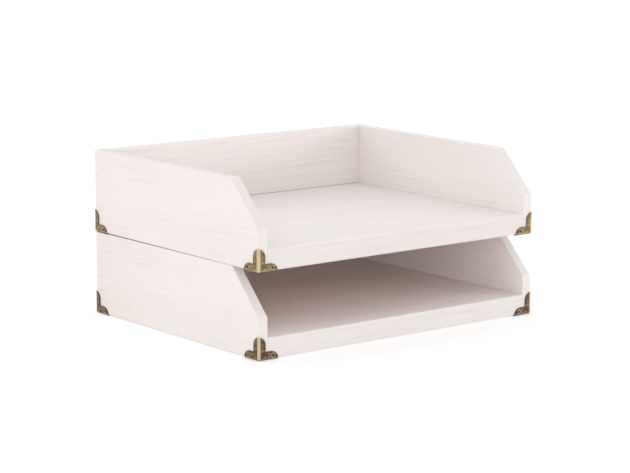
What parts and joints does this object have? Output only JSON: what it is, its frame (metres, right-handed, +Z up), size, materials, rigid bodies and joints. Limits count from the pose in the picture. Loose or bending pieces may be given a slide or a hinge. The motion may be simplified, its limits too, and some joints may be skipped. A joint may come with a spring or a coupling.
{
  "type": "stacked letter trays",
  "caption": "Stackable whitewashed wooden letter trays with sloped-front sides, a flush front rail and pressed brass corner protectors.",
  "frame": {"origin": "middle of the footprint, on the surface that the lower tray stands on", "axes": "+X to the right along the width, +Y to the back, +Z up"},
  "size_m": [0.3348, 0.271, 0.1621],
  "materials": {
    "whitewashed_wood": "whitewashed straight-grained light wood under a thin matt lacquer",
    "dowel_wood": "plain unfinished hardwood dowel",
    "antique_brass": "pressed sheet brass with a dark antique patina, rubbed bright on its folds"
  },
  "bodies": {
    "lower_tray": {"lower_left_side": "whitewashed_wood", "lower_right_side": "whitewashed_wood", "lower_back_board": "whitewashed_wood", "lower_front_rail": "whitewashed_wood", "lower_floor_panel": "whitewashed_wood", "lower_dowels": "dowel_wood", "lower_front_left_corner": "antique_brass", "lower_front_right_corner": "antique_brass", "lower_rear_left_corner": "antique_brass", "lower_rear_right_corner": "antique_brass", "lower_corner_pins": "antique_brass"},
    "upper_tray": {"upper_left_side": "whitewashed_wood", "upper_right_side": "whitewashed_wood", "upper_back_board": "whitewashed_wood", "upper_front_rail": "whitewashed_wood", "upper_floor_panel": "whitewashed_wood", "upper_dowels": "dowel_wood", "upper_front_left_corner": "antique_brass", "upper_front_right_corner": "antique_brass", "upper_rear_left_corner": "antique_brass", "upper_rear_right_corner": "antique_brass", "upper_corner_pins": "antique_brass"}
  },
  "joints": [
    {"name": "upper_tray_lift", "type": "slide", "parent": "lower_tray", "child": "upper_tray", "axis": [0, 0, 1], "range_m": [0, 0.12]}
  ]
}
